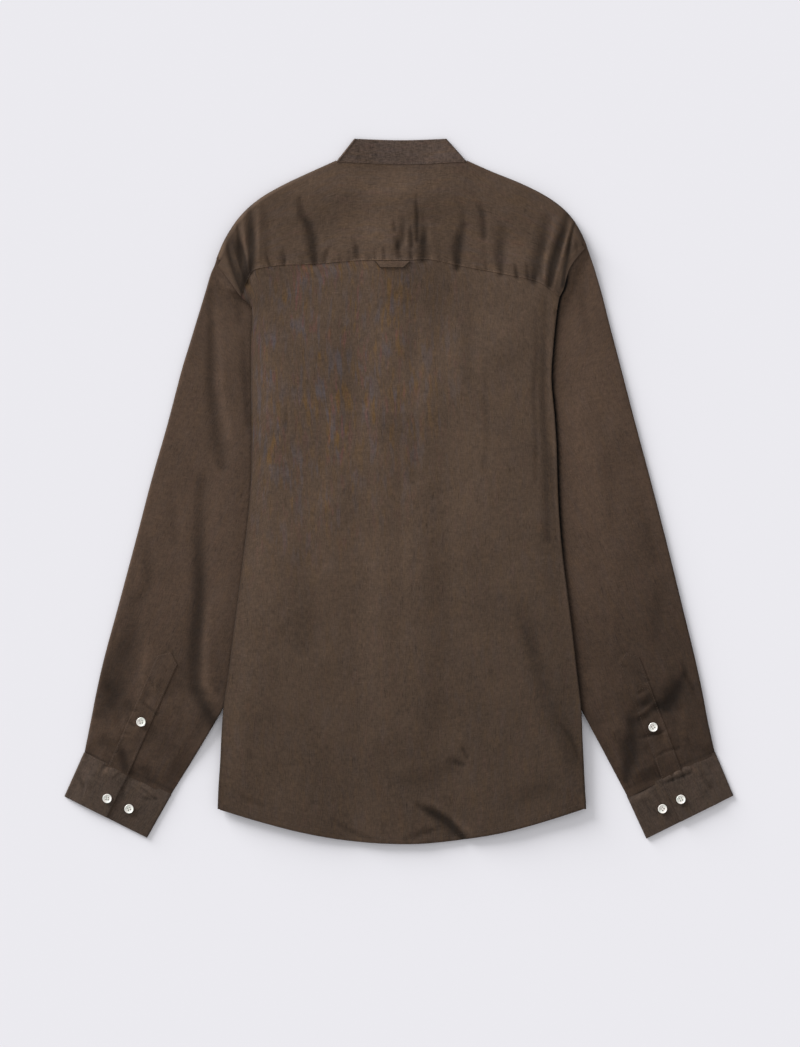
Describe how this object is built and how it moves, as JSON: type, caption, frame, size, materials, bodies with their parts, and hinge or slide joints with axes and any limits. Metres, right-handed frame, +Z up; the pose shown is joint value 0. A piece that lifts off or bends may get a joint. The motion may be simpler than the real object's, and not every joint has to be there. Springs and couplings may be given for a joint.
{
  "type": "linen shirt laid flat",
  "caption": "Long-sleeved button-front linen shirt with a band collar, back yoke, hanger loop, curved hem and buttoned cuffs, laid flat with its back up.",
  "frame": {"origin": "on the floor under the middle of the shirt's outline, on the line down the middle of the back", "axes": "+X to the right across the back as seen from above, +Y from the hem to the collar, +Z up from the floor"},
  "size_m": [0.7692, 0.8109, 0.0127],
  "materials": {
    "linen": "matte plain-weave linen",
    "linen_yoke": "matte plain-weave linen",
    "linen_sleeve": "matte plain-weave linen",
    "linen_cuff": "matte plain-weave linen",
    "button": "pearly, smooth"
  },
  "bodies": {
    "root": {"back_panel": "linen", "front_left": "linen", "front_right": "linen", "front_band": "linen", "yoke": "linen_yoke", "collar_band": "linen_yoke", "hanger_loop": "linen_yoke", "sleeve_left": "linen_sleeve", "sleeve_right": "linen_sleeve", "placket_left": "linen_sleeve", "placket_right": "linen_sleeve", "cuff_left": "linen_cuff", "cuff_right": "linen_cuff", "button_placket_left": "button", "button_placket_right": "button", "button_cuff_outer_left": "button", "button_cuff_outer_right": "button", "button_cuff_inner_left": "button", "button_cuff_inner_right": "button", "button_collar": "button", "button_front_1": "button", "button_front_2": "button", "button_front_3": "button", "button_front_4": "button", "button_front_5": "button", "button_front_6": "button", "button_front_7": "button"}
  },
  "joints": []
}
